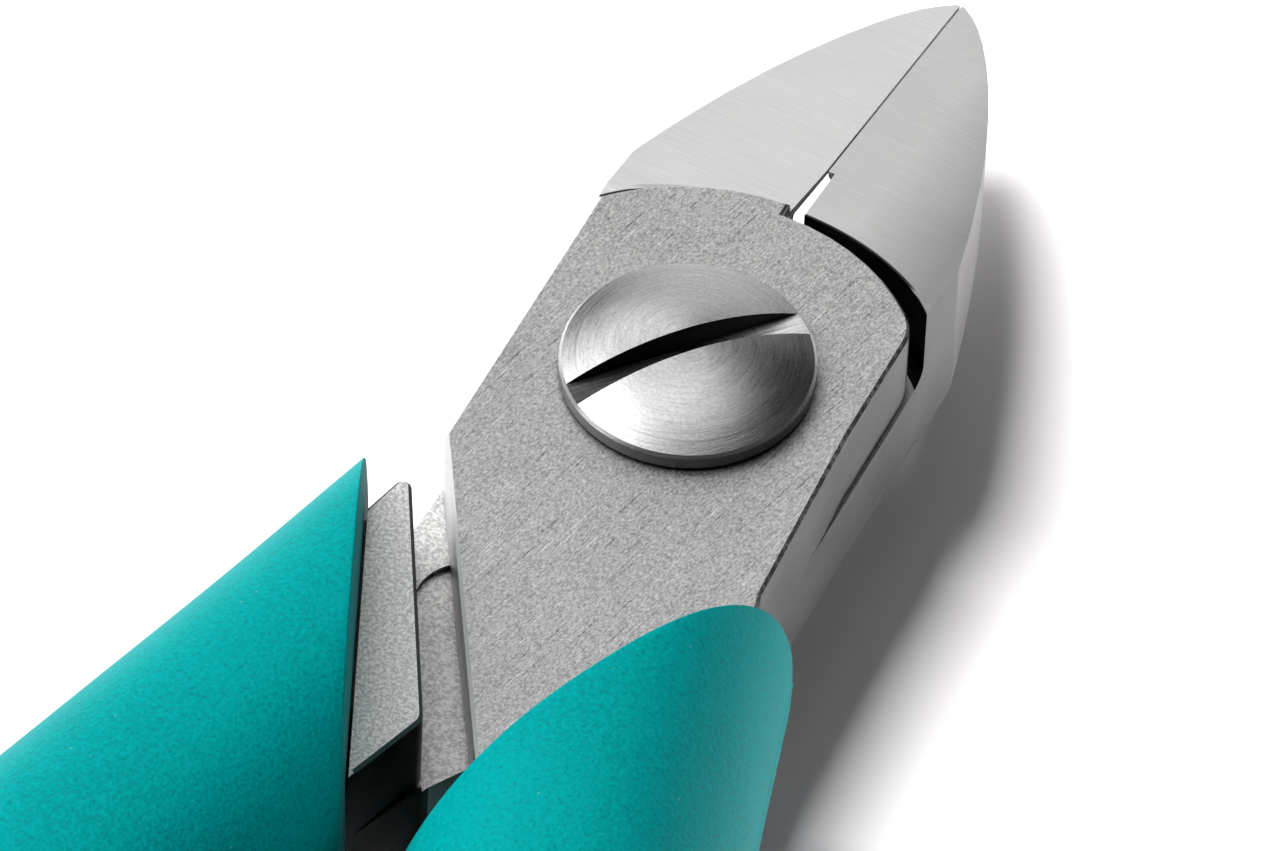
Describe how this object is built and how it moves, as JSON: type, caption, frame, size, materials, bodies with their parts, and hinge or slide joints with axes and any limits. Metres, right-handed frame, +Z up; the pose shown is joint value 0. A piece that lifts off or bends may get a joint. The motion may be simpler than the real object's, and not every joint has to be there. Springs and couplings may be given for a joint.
{
  "type": "flush cutter",
  "caption": "Small lap-joint flush cutter for electronics leads, with sloping jaws, a slotted dome-head pivot screw, oblique-cut soft grips and leaf springs between the handles.",
  "frame": {"origin": "middle of the base of the closed tool's bounding box, on the surface it lies on", "axes": "+Y towards the jaw tips, +Z up out of the screw head's side, +X to the right handle's side"},
  "size_m": [0.0416, 0.115, 0.0142],
  "materials": {
    "forged_steel": "fine blasted and ground, bright worn edges",
    "turned_steel": "lathe turned, concentric marks",
    "soft_grip": "matt teal elastomer with a fine grain",
    "hard_liner": "black moulded",
    "spring_steel": "rolled spring strip",
    "rivet_steel": "bright headed rivets"
  },
  "bodies": {
    "lower": {"lower_half": "forged_steel", "pivot_screw": "turned_steel", "pivot_nut": "turned_steel", "left_grip": "soft_grip", "left_grip_core": "hard_liner", "left_leaf_spring": "spring_steel", "left_spring_rivets": "rivet_steel"},
    "upper": {"upper_half": "forged_steel", "right_grip": "soft_grip", "right_grip_core": "hard_liner", "right_leaf_spring": "spring_steel", "right_spring_rivets": "rivet_steel"}
  },
  "joints": [
    {"name": "handle_pivot", "type": "hinge", "parent": "lower", "child": "upper", "pos_m": [0, 0.03895, 0.0071], "axis": [0, 0, 1], "range_deg": [0, 15], "stiffness_Nm_per_rad": 1.2, "springref_deg": 18.91}
  ]
}
